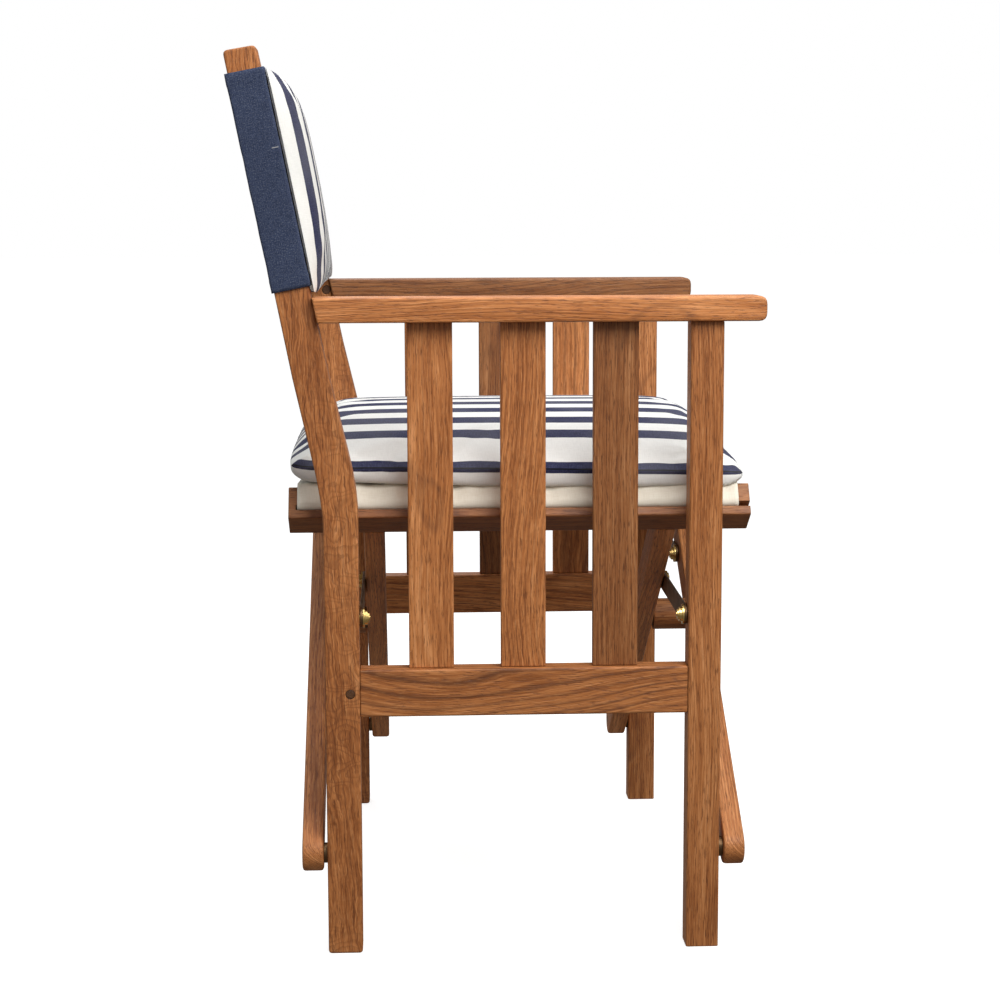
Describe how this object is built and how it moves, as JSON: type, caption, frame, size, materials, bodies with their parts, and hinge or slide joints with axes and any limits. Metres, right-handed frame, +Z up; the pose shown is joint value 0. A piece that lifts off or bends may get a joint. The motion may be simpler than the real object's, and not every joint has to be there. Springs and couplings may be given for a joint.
{
  "type": "folding camp chair",
  "caption": "Folding wooden director's chair with crossed legs, slatted arm frames, metal stay straps, a canvas seat sling with a loose striped cushion and a padded striped back.",
  "frame": {"origin": "middle of the bounding box, on the floor", "axes": "+Z up, -Y towards the front of the seat, +X towards the sitter's left"},
  "size_m": [0.586, 0.5152, 0.8842],
  "materials": {
    "teak": "oiled, satin",
    "dark_plug": "end grain, matt",
    "brass": "polished, slightly tarnished",
    "bronze_strap": "dark bronze, satin",
    "cream_canvas": "plain weave, matt",
    "navy_canvas": "plain weave, matt",
    "striped_canvas": "navy and white woven stripes, matt"
  },
  "bodies": {
    "right_frame": {"right_front_post": "teak", "right_rear_post": "teak", "right_armrest": "teak", "right_side_rail": "teak", "right_slat_front": "teak", "right_slat_middle": "teak", "right_slat_rear": "teak", "right_rail_peg": "dark_plug", "right_arm_plug": "dark_plug", "right_back_sleeve": "navy_canvas", "outer_front_foot_pin": "bronze_strap", "outer_rear_foot_pin": "bronze_strap"},
    "outer_legs": {"outer_front_leg": "teak", "outer_rear_leg": "teak", "left_seat_rail": "teak", "left_hem_rod": "teak"},
    "inner_legs": {"inner_front_leg": "teak", "inner_rear_leg": "teak", "right_seat_rail": "teak", "right_hem_rod": "teak"},
    "left_frame": {"left_front_post": "teak", "left_rear_post": "teak", "left_armrest": "teak", "left_side_rail": "teak", "left_slat_front": "teak", "left_slat_middle": "teak", "left_slat_rear": "teak", "left_rail_peg": "dark_plug", "left_arm_plug": "dark_plug", "left_back_sleeve": "navy_canvas", "inner_front_foot_pin": "bronze_strap", "inner_rear_foot_pin": "bronze_strap"},
    "seat": {"front_cross_bolt": "brass", "front_cross_nut": "brass", "front_cross_washer_inner": "bronze_strap", "front_cross_washer_outer": "bronze_strap", "front_spacer": "teak", "rear_cross_bolt": "brass", "rear_cross_nut": "brass", "rear_cross_washer_inner": "bronze_strap", "rear_cross_washer_outer": "bronze_strap", "rear_spacer": "teak", "seat_sling": "cream_canvas", "seat_cushion": "striped_canvas"},
    "back": {"back_panel": "striped_canvas"},
    "right_front_strap": {"right_front_strap": "bronze_strap", "right_front_strap_post_bolt": "brass", "right_front_strap_leg_bolt": "brass"},
    "right_rear_strap": {"right_rear_strap": "bronze_strap", "right_rear_strap_post_bolt": "brass", "right_rear_strap_leg_bolt": "brass"},
    "left_front_strap": {"left_front_strap": "bronze_strap", "left_front_strap_post_bolt": "brass", "left_front_strap_leg_bolt": "brass"},
    "left_rear_strap": {"left_rear_strap": "bronze_strap", "left_rear_strap_post_bolt": "brass", "left_rear_strap_leg_bolt": "brass"}
  },
  "joints": [
    {"name": "fold", "type": "hinge", "parent": "right_frame", "child": "outer_legs", "pos_m": [-0.271, 0, 0.0995], "axis": [0, -1, 0], "range_deg": [0, 28.5], "deforming": ["seat_sling", "seat_cushion", "back_panel"]},
    {"name": "crossing", "type": "hinge", "parent": "outer_legs", "child": "inner_legs", "pos_m": [0, 0, 0.2848], "axis": [0, -1, 0], "range_deg": [-63.4, 0]},
    {"name": "seat_level", "type": "hinge", "parent": "outer_legs", "child": "seat", "pos_m": [0, 0, 0.2848], "axis": [0, -1, 0], "range_deg": [-31.8, 0]},
    {"name": "left_foot", "type": "hinge", "parent": "inner_legs", "child": "left_frame", "pos_m": [0.271, 0, 0.0995], "axis": [0, -1, 0], "range_deg": [0, 28.6]},
    {"name": "back_slack", "type": "slide", "parent": "right_frame", "child": "back", "axis": [0, 1, 0], "range_m": [0, 0.0401]},
    {"name": "right_front_strap_pivot", "type": "hinge", "parent": "right_frame", "child": "right_front_strap", "pos_m": [-0.271, 0, 0.336], "axis": [0, -1, 0], "range_deg": [0, 50.9]},
    {"name": "right_rear_strap_pivot", "type": "hinge", "parent": "right_frame", "child": "right_rear_strap", "pos_m": [-0.271, 0, 0.336], "axis": [0, -1, 0], "range_deg": [0, 50.9]},
    {"name": "left_front_strap_pivot", "type": "hinge", "parent": "left_frame", "child": "left_front_strap", "pos_m": [0.271, 0, 0.336], "axis": [0, -1, 0], "range_deg": [-50.9, 0]},
    {"name": "left_rear_strap_pivot", "type": "hinge", "parent": "left_frame", "child": "left_rear_strap", "pos_m": [0.271, 0, 0.336], "axis": [0, -1, 0], "range_deg": [-50.9, 0]}
  ],
  "couplings": [
    {"joint": "crossing", "follows": "fold", "ratio": -2.2222},
    {"joint": "seat_level", "follows": "fold", "ratio": -1.1111},
    {"joint": "left_foot", "follows": "fold", "ratio": 1},
    {"joint": "back_slack", "follows": "fold", "m_per_rad": 0.08042},
    {"joint": "right_front_strap_pivot", "follows": "fold", "ratio": 1.7793},
    {"joint": "right_rear_strap_pivot", "follows": "fold", "ratio": 1.7793},
    {"joint": "left_front_strap_pivot", "follows": "fold", "ratio": -1.7793},
    {"joint": "left_rear_strap_pivot", "follows": "fold", "ratio": -1.7793}
  ]
}
